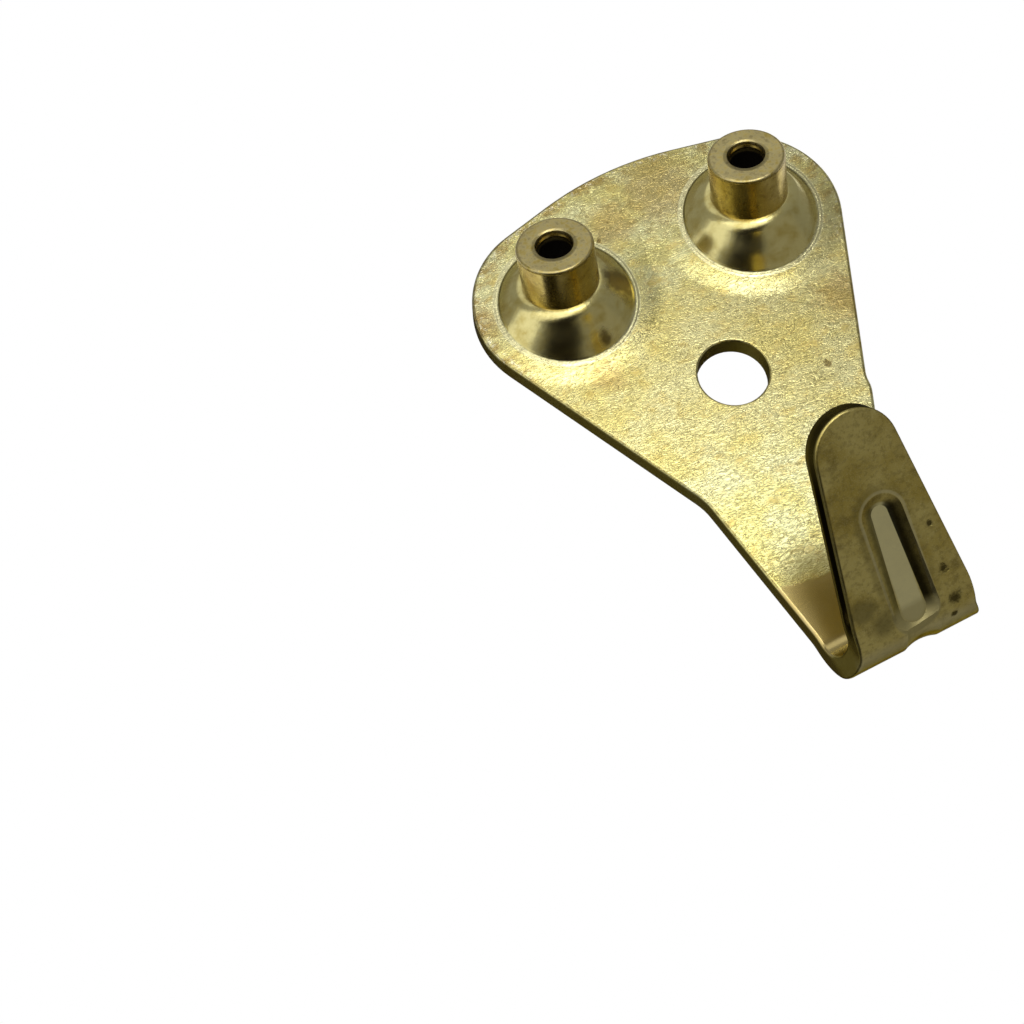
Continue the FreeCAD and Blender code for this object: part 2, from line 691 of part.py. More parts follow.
def make_guide(name, side):
    """Turned nail guide: head, rivet spigot, swaged flange and a bore with a countersink."""
    guide = doc.addObject("PartDesign::Body", name)
    guide.Label = name
    profile = new_sketch(guide, name + "_profile", "XZ_Plane")
    seat = size("seat_height")
    top = seat + size("guide_head_length")
    flange_top = seat - size("boss_wall") - size("flange_clearance")
    flange_bottom = flange_top - size("flange_thickness")
    seat_text = "Sizes.seat_height"
    top_text = "Sizes.seat_height + Sizes.guide_head_length"
    flange_top_text = "Sizes.seat_height - Sizes.boss_wall - Sizes.flange_clearance"
    flange_bottom_text = flange_top_text + " - Sizes.flange_thickness"
    stations = [
        ("bore_diameter", flange_bottom, flange_bottom_text),
        ("flange_diameter", flange_bottom, flange_bottom_text),
        ("flange_diameter", flange_top, flange_top_text),
        ("spigot_diameter", flange_top, flange_top_text),
        ("spigot_diameter", seat, seat_text),
        ("guide_head_diameter", seat, seat_text),
        ("guide_head_diameter", top, top_text),
        ("countersink_diameter", top, top_text),
        ("bore_diameter", top - size("countersink_depth"), top_text + " - Sizes.countersink_depth"),
    ]
    polygon(profile, [((size(alias) / 2, height), ("Sizes.%s / 2" % alias, text))
                      for alias, height, text in stations])
    turned = spin(guide, name + "_turned", profile, "V_Axis", "360")
    rims = round_edges(turned.Shape, size("guide_head_diameter"))
    tops = [edge for edge in rims if turned.Shape.getElement(edge).BoundBox.ZMin > seat + 0.001]
    fillet(guide, name + "_rounded", turned, tops, "guide_edge_radius")
    guide.Placement = FreeCAD.Placement(FreeCAD.Vector(), FreeCAD.Rotation(X_AXIS, 45))
    guide.setExpression("Placement.Base.x", side + "Sizes.guide_spacing / 2")
    guide.setExpression("Placement.Base.y", "-Sizes.sheet_thickness")
    guide.setExpression("Placement.Base.z", "Sizes.guide_level")
    guide.setExpression("Placement.Rotation.Angle", "(90 - Sizes.guide_tilt) * 1 deg")
    doc.recompute()
    return guide


def make_plate():
    """The one sheet of metal: plate, fold, tongue, hole, bosses and rib."""
    body = doc.addObject("PartDesign::Body", "hook_plate")
    body.Label = "hook_plate"
    pad(body, "flat_plate", draw_plate_outline(body), "Sizes.sheet_thickness")
    spin(body, "fold", draw_fold_section(body), "Axis0", "180 - Sizes.tongue_angle", True)
    pocket(body, "fold_trimmed_right", draw_fold_trim(body, 1), OUTER_RADIUS + " + 1")
    pocket(body, "fold_trimmed_left", draw_fold_trim(body, -1), OUTER_RADIUS + " + 1")
    tongue = pad(body, "tongue", draw_tongue(body), "Sizes.sheet_thickness", True)
    fillet(body, "rounded_outline", tongue, outline_edges(tongue.Shape), "edge_radius")
    ring = new_sketch(body, "centre_hole_circle", "XZ_Plane")
    circle(ring, "0", 0, "0", 0, "Sizes.hole_diameter", size("hole_diameter"))
    hole = pocket(body, "centre_hole", ring, "Sizes.sheet_thickness", True)
    rims = round_edges(hole.Shape, size("hole_diameter"))
    front = [edge for edge in rims if hole.Shape.getElement(edge).BoundBox.YMax < -0.001]
    fillet(body, "centre_hole_rim", hole, front, "hole_edge_radius")
    make_bosses(body)
    make_rib(body)
    spin(body, "rib_run_out", draw_dip(body), "Axis0", "180 - Sizes.tongue_angle", True, False)
    return body


nodes = [make_plate(), make_guide("left_nail_guide", "-"), make_guide("right_nail_guide", "")]
doc.recompute()
for item in doc.Objects:
    bad = [word for word in item.State if word in ("Invalid", "Error")]
    require(not bad, item.Name + " is in error")
os.makedirs("parts", exist_ok=True)
for node in nodes:
    require(not node.Shape.isNull() and node.Shape.isValid(), node.Label + " has no valid shape")
    node.Shape.exportStep("parts/%s.step" % node.Label)
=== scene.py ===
import math
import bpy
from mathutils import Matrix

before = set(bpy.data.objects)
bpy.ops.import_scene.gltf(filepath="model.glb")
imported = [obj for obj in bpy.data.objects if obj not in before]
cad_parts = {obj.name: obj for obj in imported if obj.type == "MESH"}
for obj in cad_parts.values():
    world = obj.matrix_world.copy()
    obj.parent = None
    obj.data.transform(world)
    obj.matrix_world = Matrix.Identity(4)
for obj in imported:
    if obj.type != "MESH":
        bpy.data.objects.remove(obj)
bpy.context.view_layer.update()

from types import SimpleNamespace

import bpy
from mathutils import Matrix, Vector

# Sizes of the solids that the finishes follow, in millimetres and radians
MM_PER_METRE = 1000.0
SHEET = 2.1
TOP_RADIUS = 30.0
TOP_CENTRE = -6.16
SHOULDER_LEAN = math.radians(12.8)
CORNER_RADIUS = 8.7
CORNER_SIDE = 9.37
CORNER_LEVEL = 13.55
BOSS_SIDE = 9.6
BOSS_LEVEL = 13.45
BOSS_RADIUS = 6.125
BEND_LEVEL = -25.65
BEND_RADIUS = 4.5
TONGUE_LEAN = math.radians(41.0)
RIB_SIDE = 0.2
RIB_LENGTH = 8.85
RIB_RIM = 2.05
RIB_FLOOR = 0.98
GUIDE_SIDE = 9.75
GUIDE_LEVEL = 13.58
GUIDE_TILT = math.radians(16.0)
GUIDE_FOOT = 2.55
GUIDE_TOP = 7.15
BORE_RADIUS = 1.525

# Marks on the plate and the bosses: side, level and radius in millimetres
PLATE_STAINS = ((3.4, 19.6, 4.8), (-2.2, 18.6, 3.2), (-17.2, 15.0, 2.2), (12.6, 2.2, 3.2), (-10.0, 5.0, 2.2))
PLATE_NICKS = ((-4.0, 17.5, 0.4), (7.85, -3.2, 0.5))
BOSS_DARK_SPOTS = ((-5.0, 12.2, 1.9), (-8.6, 8.0, 0.9))

# Marks on the tongue: side, distance up the tongue and radius in millimetres
TONGUE_PITS = ((3.7, 6.4, 0.4), (3.6, 2.3, 0.55), (3.7, -0.6, 0.75), (3.4, -2.1, 0.4))
TONGUE_SMUDGES = ((-2.9, 0.2, 1.7), (-4.2, 2.0, 1.6))

# The smooth plate inside the hook starts at this level and climbs to the left by this slant
INSIDE_LEVEL = -21.0
INSIDE_SLANT = 0.17

# Lathe lines of the nail guides per millimetre, drawn coarser than real ones so that they show
LATHE_LINES = 9.0

# Camera of the photograph, found from the outline of the part: place in millimetres, then degrees
CAMERA_PLACE = (-59.59, -183.53, -76.53)
CAMERA_TURN = 11.182
CAMERA_LIFT = 21.765
CAMERA_ROLL = -30.275
CAMERA_LENS = 80.86
CAMERA_SENSOR = 36.0

# Settings that many nodes share
SMOOTH = {"interpolation_type": "SMOOTHSTEP"}
TIMES = {"operation": "MULTIPLY"}
TIMES_PLUS = {"operation": "MULTIPLY_ADD"}
MINUS = {"operation": "SUBTRACT"}
LARGER = {"operation": "MAXIMUM"}
ABSOLUTE = {"operation": "ABSOLUTE"}
COLOURS = {"data_type": "RGBA"}


def linear(colour):
    """Scene-linear colour of an sRGB hex string."""
    parts = [int(colour[place:place + 2], 16) / 255 for place in (1, 3, 5)]
    return tuple(p / 12.92 if p <= 0.04045 else ((p + 0.055) / 1.055) ** 2.4 for p in parts) + (1.0,)


def add(tree, kind, settings, inputs, output=0):
    """Add one node with its settings and links; an input is a value or the output that feeds it."""
    made = tree.nodes.new("ShaderNode" + kind)
    for name, value in settings.items():
        setattr(made, name, value)
    pairs = inputs.items() if isinstance(inputs, dict) else enumerate(inputs)
    for socket, value in pairs:
        if isinstance(value, bpy.types.NodeSocket):
            tree.links.new(value, made.inputs[socket])
        else:
            made.inputs[socket].default_value = value
    return made.outputs[output] if made.outputs else None


def empty_tree(owner):
    """Node tree of a material or a world with nothing in it yet."""
    owner.use_nodes = True
    owner.node_tree.nodes.clear()
    return owner.node_tree


class Paint:
    """Empty material with the part's own millimetres and the direction that its surface faces."""

    def __init__(self, name):
        self.material = bpy.data.materials.new(name)
        self.tree = empty_tree(self.material)
        metres = add(self.tree, "TexCoord", {}, {}, "Object")
        self.place = add(self.tree, "VectorMath", {"operation": "SCALE"}, {0: metres, "Scale": MM_PER_METRE})
        self.x, self.y, self.z = add(self.tree, "SeparateXYZ", {}, (self.place,)).node.outputs
        self.front = add(self.tree, "Math", TIMES, (self.y, -1.0))
        facing = add(self.tree, "NewGeometry", {}, {}, "Normal")
        normal_parts = add(self.tree, "SeparateXYZ", {}, (facing,)).node.outputs
        self.normal_x, self.normal_y, self.normal_z = normal_parts


def overlap(tree, first, *others):
    """Where all of the masks hold."""
    for other in others:
        first = add(tree, "Math", TIMES, (first, other))
    return first


def joined(tree, first, *others):
    """Where any of the masks holds."""
    for other in others:
        first = add(tree, "Math", LARGER, (first, other))
    return first


def band(tree, value, low, high, soft):
    """All between low and high, fading to nothing over the soft length outside them."""
    above = add(tree, "MapRange", SMOOTH, (value, low - soft, low))
    below = add(tree, "MapRange", SMOOTH, (value, high + soft, high))
    return overlap(tree, above, below)


def distance(tree, first, first_place, second, second_place):
    """Distance in the plane of two coordinates from a point of it."""
    across = add(tree, "Math", MINUS, (first, first_place))
    along = add(tree, "Math", MINUS, (second, second_place))
    square = add(tree, "Math", TIMES, (along, along))
    squares = add(tree, "Math", TIMES_PLUS, (across, across, square))
    return add(tree, "Math", {"operation": "SQRT"}, (squares,))


def leaning(paint, start_level, start_front, lean):
    """Distance along a direction that leans out from the wall, and height over it, from a start point."""
    tree = paint.tree
    level = add(tree, "Math", MINUS, (paint.z, start_level))
    front = add(tree, "Math", MINUS, (paint.front, start_front))
    outward = add(tree, "Math", TIMES, (front, math.sin(lean)))
    along = add(tree, "Math", TIMES_PLUS, (level, math.cos(lean), outward))
    downward = add(tree, "Math", TIMES, (level, -math.sin(lean)))
    over = add(tree, "Math", TIMES_PLUS, (front, math.cos(lean), downward))
    return along, over


def mottling(paint, sizes, detail, roughness=0.5, distortion=0.0):
    """Uneven pattern from 0 to 1 whose patches have the given sizes along X, Y and Z."""
    place = add(paint.tree, "VectorMath", {"operation": "DIVIDE"}, (paint.place, sizes))
    inputs = {"Vector": place, "Scale": 1.0, "Detail": detail,
              "Roughness": roughness, "Distortion": distortion}
    return add(paint.tree, "TexNoise", {"noise_dimensions": "3D"}, inputs)


def winding_lines(paint, sizes, width, distortion):
    """Thin winding lines that follow the middle of an uneven pattern."""
    pattern = mottling(paint, sizes, 2.0, 0.5, distortion)
    signed = add(paint.tree, "Math", MINUS, (pattern, 0.5))
    away = add(paint.tree, "Math", ABSOLUTE, (signed,))
    return add(paint.tree, "MapRange", SMOOTH, (away, width, 0.0))


def spots(tree, first, second, places, ragged):
    """Soft spots with uneven outlines around points of the surface."""
    # Unevenness of the outline and size of the full core, as shares of a spot's radius
    uneven_share, core_share = 1.6, 0.35
    unevenness = add(tree, "Math", MINUS, (ragged, 0.5))
    found = []
    for first_place, second_place, radius in places:
        away = distance(tree, first, first_place, second, second_place)
        uneven = add(tree, "Math", TIMES_PLUS, (unevenness, radius * uneven_share, away))
        found.append(add(tree, "MapRange", SMOOTH, (uneven, radius, radius * core_share)))
    return joined(tree, *found)


def coat(tree, colour, layers):
    """A colour under layers of others, each given by its mask, its strength and its own colour."""
    if isinstance(colour, str):
        colour = linear(colour)
    for mask, strength, layer in layers:
        if isinstance(layer, str):
            layer = linear(layer)
        amount = add(tree, "Math", TIMES, (mask, strength))
        colour = add(tree, "Mix", COLOURS, {0: amount, 6: colour, 7: layer}, 2)
    return colour


def wear(tree, roughness, layers):
    """A roughness under layers of others, each given by its mask and its own roughness."""
    for mask, layer in layers:
        roughness = add(tree, "Mix", {}, {0: mask, 2: roughness, 3: layer})
    return roughness


def emboss(tree, reliefs):
    """Surface direction of reliefs on top of one another, each given by its height and its depth."""
    inputs = {}
    for height, depth in reliefs:
        inputs["Height"] = height
        inputs["Distance"] = depth / MM_PER_METRE
        inputs["Strength"] = 1.0
        inputs["Normal"] = add(tree, "Bump", {}, inputs)
    return inputs["Normal"]


def bare_metal(tree, colour, roughness, normal, edge_tint):
    """Metal with its colour, polish and relief; the edge tint dulls what it mirrors at a slant."""
    inputs = {"Base Color": colour, "Metallic": 1.0, "Roughness": roughness,
              "Normal": normal, "Specular Tint": edge_tint}
    surface = add(tree, "BsdfPrincipled", {}, inputs)
    add(tree, "OutputMaterial", {}, {"Surface": surface})


def sheet_patterns(paint):
    """Uneven patterns of the sheet, from broad drifts of colour down to grain too fine to tell apart."""
    return SimpleNamespace(
        broad=mottling(paint, (5.0, 5.0, 4.0), 3.0, 0.6),
        patchy=mottling(paint, (1.7, 1.7, 1.2), 4.0, 0.65),
        ragged=mottling(paint, (0.45, 0.45, 0.35), 3.0, 0.6),
        grain=mottling(paint, (0.1, 0.1, 0.1), 2.0, 0.6))


def press_zones(paint, patchy):
    """Zones that the press left smooth: bosses, tongue with its bend, and plate inside the hook."""
    tree = paint.tree
    front_side = add(tree, "MapRange", SMOOTH, (paint.front, 0.35, 0.9))
    side = add(tree, "Math", ABSOLUTE, (paint.x,))
    boss_away = distance(tree, side, BOSS_SIDE, paint.z, BOSS_LEVEL)
    boss_disc = add(tree, "MapRange", SMOOTH, (boss_away, BOSS_RADIUS + 0.08, BOSS_RADIUS - 0.12))
    boss = overlap(tree, boss_disc, front_side)
    hook_end = add(tree, "MapRange", SMOOTH, (paint.z, -10.0, -11.0))
    off_wall = add(tree, "MapRange", SMOOTH, (paint.front, SHEET + 0.25, SHEET + 1.0))
    under_bend = add(tree, "MapRange", SMOOTH, (paint.z, BEND_LEVEL - 1.3, BEND_LEVEL - 3.3))
    tongue = overlap(tree, hook_end, joined(tree, off_wall, under_bend))
    slanted = add(tree, "Math", TIMES_PLUS, (paint.x, INSIDE_SLANT, paint.z))
    unevenness = add(tree, "Math", MINUS, (patchy, 0.5))
    level = add(tree, "Math", TIMES_PLUS, (unevenness, 1.1, slanted))
    low_plate = add(tree, "MapRange", SMOOTH, (level, INSIDE_LEVEL + 0.15, INSIDE_LEVEL - 0.15))
    inside = overlap(tree, low_plate, front_side)
    rough = add(tree, "Math", MINUS, (1.0, joined(tree, boss, tongue, inside)))
    off_tongue = add(tree, "Math", MINUS, (1.0, tongue))
    return SimpleNamespace(front_side=front_side, boss_away=boss_away, boss=boss, tongue=tongue,
                           rough=rough, off_tongue=off_tongue, inside=overlap(tree, inside, off_tongue))


def rib_zones(paint, tongue, along, over):
    """Floor, walls, lip and foot of the pressed rib, found by the distance from its middle line."""
    tree = paint.tree
    side = add(tree, "Math", MINUS, (paint.x, RIB_SIDE))
    on_line = add(tree, "Clamp", {}, (along, 0.0, RIB_LENGTH))
    beyond = add(tree, "Math", MINUS, (along, on_line))
    away = distance(tree, side, 0.0, beyond, 0.0)
    sunk = add(tree, "MapRange", SMOOTH, (over, -0.12, -0.45))
    not_behind = add(tree, "MapRange", SMOOTH, (over, -1.2, -1.0))
    pressed = overlap(tree, tongue, sunk, not_behind)
    face = overlap(tree, tongue, add(tree, "MapRange", SMOOTH, (over, -1.6, -1.3)))
    above_foot = add(tree, "MapRange", SMOOTH, (along, -0.8, 0.8))

    near_middle = add(tree, "MapRange", SMOOTH, (away, RIB_FLOOR + 0.2, RIB_FLOOR - 0.1))
    lip = overlap(tree, face, band(tree, away, RIB_RIM - 0.1, RIB_RIM + 0.04, 0.14), above_foot)
    left_side = add(tree, "MapRange", SMOOTH, (side, -0.5, 1.5, 1.0, 0.35))
    upper_part = add(tree, "MapRange", SMOOTH, (along, 0.0, 3.0))
    # A soft band around the rim, on the rib's left and along its upper part, for painted shade beside the
    # rib.
    around_rim = band(tree, away, RIB_RIM + 0.25, RIB_RIM + 0.4, 0.5)
    beside_shade = overlap(tree, face, around_rim, left_side, upper_part)
    faces_left = add(tree, "MapRange", SMOOTH, (paint.normal_x, -0.2, -0.4))
    faces_right = add(tree, "MapRange", SMOOTH, (paint.normal_x, 0.2, 0.4))
    below_rib = add(tree, "MapRange", SMOOTH, (along, -1.2, -2.6))
    in_rim = add(tree, "MapRange", SMOOTH, (away, RIB_RIM + 0.3, RIB_RIM))
    return SimpleNamespace(away=away, face=face, lip=lip, beside_shade=beside_shade,
                           floor=overlap(tree, pressed, near_middle),
                           shade=overlap(tree, pressed, faces_left, above_foot),
                           wall=overlap(tree, pressed, faces_right),
                           bend_highlight=overlap(tree, face, below_rib),
                           foot=overlap(tree, face, band(tree, along, -2.2, 0.0, 0.9), in_rim))


def sheared_zones(paint, zones, rib, along, over):
    """Cut edges of the sheet and flanks of the tongue, darkened partly as raw cut steel and partly as
    painted shade, a near-black band of painted shade along the tongue's flank, and the worn corners of the
    plate.
    """
    tree = paint.tree
    flat = add(tree, "Math", ABSOLUTE, (paint.normal_y,))
    off_boss = add(tree, "Math", MINUS, (1.0, zones.boss))
    edge = overlap(tree, add(tree, "MapRange", SMOOTH, (flat, 0.75, 0.3)), off_boss, zones.off_tongue)
    outward = add(tree, "Math", TIMES, (paint.normal_y, -math.cos(TONGUE_LEAN)))
    facing = add(tree, "Math", TIMES_PLUS, (paint.normal_z, -math.sin(TONGUE_LEAN), outward))
    tongue_flat = add(tree, "Math", ABSOLUTE, (facing,))
    turned_away = add(tree, "MapRange", SMOOTH, (tongue_flat, 0.75, 0.3))
    above_bend = add(tree, "MapRange", SMOOTH, (along, 0.2, 1.0))
    to_the_side = add(tree, "Math", ABSOLUTE, (paint.normal_x,))
    sideways = add(tree, "MapRange", SMOOTH, (to_the_side, 0.55, 0.8))
    rim = joined(tree, overlap(tree, above_bend, turned_away), sideways)
    off_rib = add(tree, "MapRange", SMOOTH, (rib.away, RIB_RIM + 0.7, RIB_RIM + 1.0))
    flank = overlap(tree, zones.tongue, rim, off_rib)
    cut = add(tree, "Math", {"operation": "ADD", "use_clamp": True}, (edge, flank))
    # Painted shade: a near-black band along the tongue's flank, fading towards the tip.
    fades_at_tip = add(tree, "MapRange", SMOOTH, (along, 12.0, 16.0, 1.0, 0.35))
    starts_over_bend = add(tree, "MapRange", SMOOTH, (along, -0.8, 1.5))
    painted_shade_band = overlap(tree, flank, band(tree, over, -1.3, -0.3, 0.15), fades_at_tip, starts_over_bend)
    corner = overlap(tree, band(tree, flat, 0.8, 0.95, 0.04), zones.rough)
    return SimpleNamespace(cut=cut, painted_shade_band=painted_shade_band, corner=corner)


def top_rim_distance(paint):
    """Distance inward from the top edge of the plate: its arc, its straight shoulders and its corners."""
    tree = paint.tree
    side = add(tree, "Math", ABSOLUTE, (paint.x,))
    arc = add(tree, "Math", MINUS, (TOP_RADIUS, distance(tree, paint.x, 0.0, paint.z, TOP_CENTRE)))
    reach = TOP_RADIUS + TOP_CENTRE * math.cos(SHOULDER_LEAN)
    sideways = add(tree, "Math", TIMES, (side, math.sin(SHOULDER_LEAN)))
    climb = add(tree, "Math", TIMES_PLUS, (paint.z, math.cos(SHOULDER_LEAN), sideways))
    shoulder = add(tree, "Math", MINUS, (reach, climb))
    turn = distance(tree, side, CORNER_SIDE, paint.z, CORNER_LEVEL)
    corner = add(tree, "Math", MINUS, (CORNER_RADIUS, turn))
    shoulder_start = TOP_RADIUS * math.sin(SHOULDER_LEAN)
    corner_start = CORNER_SIDE + CORNER_RADIUS * math.sin(SHOULDER_LEAN)
    on_shoulder = add(tree, "MapRange", SMOOTH, (side, shoulder_start - 0.3, shoulder_start + 0.3))
    on_corner = add(tree, "MapRange", SMOOTH, (side, corner_start - 0.3, corner_start + 0.3))
    top = add(tree, "Mix", {}, {0: on_shoulder, 2: arc, 3: shoulder})
    return add(tree, "Mix", {}, {0: on_corner, 2: top, 3: corner})


def plate_creases(paint, rough):
    """Fine creases of the crinkled plate, in long and short runs, which the plate's colour darkens as
    painted shade.
    """
    tree = paint.tree
    runs = mottling(paint, (0.9, 0.9, 0.6), 2.0)
    long_runs = add(tree, "MapRange", SMOOTH, (runs, 0.4, 0.62))
    short_runs = add(tree, "Math", MINUS, (1.0, long_runs))
    long_creases = overlap(tree, winding_lines(paint, (1.5, 1.5, 0.42), 0.06, 1.2), long_runs)
    short_creases = overlap(tree, winding_lines(paint, (0.8, 0.8, 0.24), 0.08, 0.8), short_runs)
    return overlap(tree, joined(tree, long_creases, short_creases), rough)


def plate_colour(paint, patterns, zones, sheared, creases):
    """Pale brass with golden drifts, a middle painted darker and more golden as painted shade, creases
    darkened as painted shade, and brown tarnish near the top edge.
    """
    tree = paint.tree
    rough = zones.rough
    drift = add(tree, "MapRange", SMOOTH, (patterns.broad, 0.34, 0.66))
    # Between the neck and the bosses the plate is painted darker and more golden than the highlit lower
    # plate: painted shade.
    above_neck = add(tree, "MapRange", SMOOTH, (paint.z, -16.0, -2.0))
    below_bosses = add(tree, "MapRange", SMOOTH, (paint.z, 6.0, 14.0, 1.0, 0.3))
    golden_shaded_middle = overlap(tree, above_neck, below_bosses, rough)
    golden_neck = overlap(tree, add(tree, "MapRange", SMOOTH, (paint.z, -14.0, -20.0)), rough)
    golden_patch = overlap(tree, add(tree, "MapRange", SMOOTH, (patterns.patchy, 0.5, 0.72)), rough)
    front_plate = overlap(tree, rough, zones.front_side)
    stains = overlap(tree, spots(tree, paint.x, paint.z, PLATE_STAINS, patterns.patchy), front_plate)
    nicks = overlap(tree, spots(tree, paint.x, paint.z, PLATE_NICKS, patterns.ragged), front_plate)

    rim_away = top_rim_distance(paint)
    upper = overlap(tree, rough, add(tree, "MapRange", SMOOTH, (paint.z, 7.0, 9.0)))
    near_rim = add(tree, "MapRange", SMOOTH, (rim_away, 2.4, 0.3))
    at_rim = add(tree, "MapRange", SMOOTH, (rim_away, 1.0, 0.4))
    tarnish = add(tree, "MapRange", SMOOTH, (patterns.patchy, 0.42, 0.6))
    scratches = add(tree, "MapRange", SMOOTH, (patterns.ragged, 0.52, 0.62))
    worn_corner = overlap(tree, sheared.corner, add(tree, "MapRange", SMOOTH, (patterns.ragged, 0.42, 0.6)))
    ring = band(tree, zones.boss_away, BOSS_RADIUS + 0.1, BOSS_RADIUS + 0.5, 0.15)
    rubbed_ring = overlap(tree, ring, front_plate)
    return coat(tree, "#E8E7B4", [(drift, 1.0, "#E0D78E"),
                                  # Painted shade: the middle of the plate darker and more golden.
                                  (golden_shaded_middle, 0.4, "#D9C476"),
                                  (golden_neck, 0.4, "#E2CE72"),
                                  (golden_patch, 0.6, "#D9BE66"),
                                  # Painted shade: the creases darkened, as shade in their valleys.
                                  (creases, 0.42, "#8C7D40"),
                                  (stains, 0.45, "#B08E4E"),
                                  (overlap(tree, near_rim, tarnish, upper), 0.6, "#8E7038"),
                                  (overlap(tree, at_rim, scratches, upper), 0.6, "#F1EBC8"),
                                  (worn_corner, 0.6, "#7A6A3A"),
                                  (rubbed_ring, 0.6, "#E9E3B4"),
                                  (nicks, 0.75, "#6B5526")])


def boss_colour(paint, patterns, boss_dark_spot):
    """Smooth pale brass with darker brown spots on the left boss."""
    drift = add(paint.tree, "MapRange", SMOOTH, (patterns.patchy, 0.4, 0.75))
    return coat(paint.tree, "#E4D896", [(drift, 1.0, "#CDBA6C"), (boss_dark_spot, 0.8, "#5A4720")])


def tongue_colour(paint, patterns, rib):
    """Khaki brass, mottled and dull, with painted light on the rib: its floor paler and its rim and the bend
    below it lighter as painted highlights, painted shade on its left wall and beside it, and dark on the
    rib's shaded wall.
    """
    tree = paint.tree
    drift = add(tree, "MapRange", SMOOTH, (patterns.broad, 0.36, 0.66))
    dull_patch = add(tree, "MapRange", SMOOTH, (patterns.patchy, 0.48, 0.75))
    dull_fleck = add(tree, "MapRange", SMOOTH, (patterns.ragged, 0.46, 0.66))
    bright_fleck = add(tree, "MapRange", SMOOTH, (patterns.grain, 0.5, 0.7))
    return coat(tree, "#D2C278", [(drift, 1.0, "#BAA655"),
                                  (dull_patch, 0.65, "#887840"),
                                  (dull_fleck, 0.4, "#8A7A44"),
                                  (bright_fleck, 0.35, "#E0D49A"),
                                  # Painted light: the floor of the rib made paler, as where light falls into
                                  # it.
                                  (rib.floor, 0.8, "#F0E8B4"),
                                  # Painted shade: the rib's left wall, which faces right, darkened.
                                  (rib.wall, 0.7, "#8F8858"),
                                  # Painted highlight: a paler line along the rib's rounded rim.
                                  (rib.lip, 0.45, "#DED7AC"),
                                  # Painted shade: a dark halo beside the rib, on its left and along its
                                  # upper part.
                                  (rib.beside_shade, 0.4, "#7C7040"),
                                  # Painted highlight: the bend below the rib made paler.
                                  (rib.bend_highlight, 0.5, "#E0D8B0"),
                                  (rib.foot, 0.8, "#BDB382"),
                                  (rib.shade, 0.8, "#332C16")])


def sheet_relief(paint, patterns, zones, creases, pits):
    """Relief of the sheet: a flare to the bosses, crinkle where it was not pressed, fine grain all over."""
    tree = paint.tree
    boss_away = zones.boss_away
    front_plate = overlap(tree, zones.rough, zones.front_side)
    under_boss = add(tree, "MapRange", SMOOTH, (paint.z, BOSS_LEVEL - 3.0, BOSS_LEVEL + 3.0, 1.0, 0.1))
    near_boss = add(tree, "MapRange", SMOOTH, (boss_away, 9.0, BOSS_RADIUS))
    flare = overlap(tree, near_boss, under_boss, front_plate)
    hollow_flank = overlap(tree, add(tree, "MapRange", SMOOTH, (boss_away, 3.6, 5.4)), zones.boss)
    round_boss = add(tree, "MapRange", SMOOTH, (boss_away, BOSS_RADIUS + 0.5, BOSS_RADIUS + 0.3))
    ring_step = overlap(tree, round_boss, front_plate)
    swell_share = add(tree, "MapRange", SMOOTH, (paint.z, -8.0, 14.0, 1.8, 0.8))
    swell = overlap(tree, mottling(paint, (0.85, 0.85, 0.28), 2.0, 0.5, 1.2), swell_share)
    crinkle = add(tree, "Math", TIMES_PLUS, (creases, -0.8, swell))
    streaks = overlap(tree, mottling(paint, (1.4, 0.2, 0.2), 3.0, 0.6), zones.tongue)
    return emboss(tree, [(flare, 0.2),
                         (hollow_flank, 0.3),
                         (ring_step, 0.03),
                         (overlap(tree, crinkle, zones.rough), 0.0095),
                         (streaks, 0.011),
                         (add(tree, "Math", TIMES, (pits, -1.0)), 0.06),
                         (patterns.grain, 0.003)])


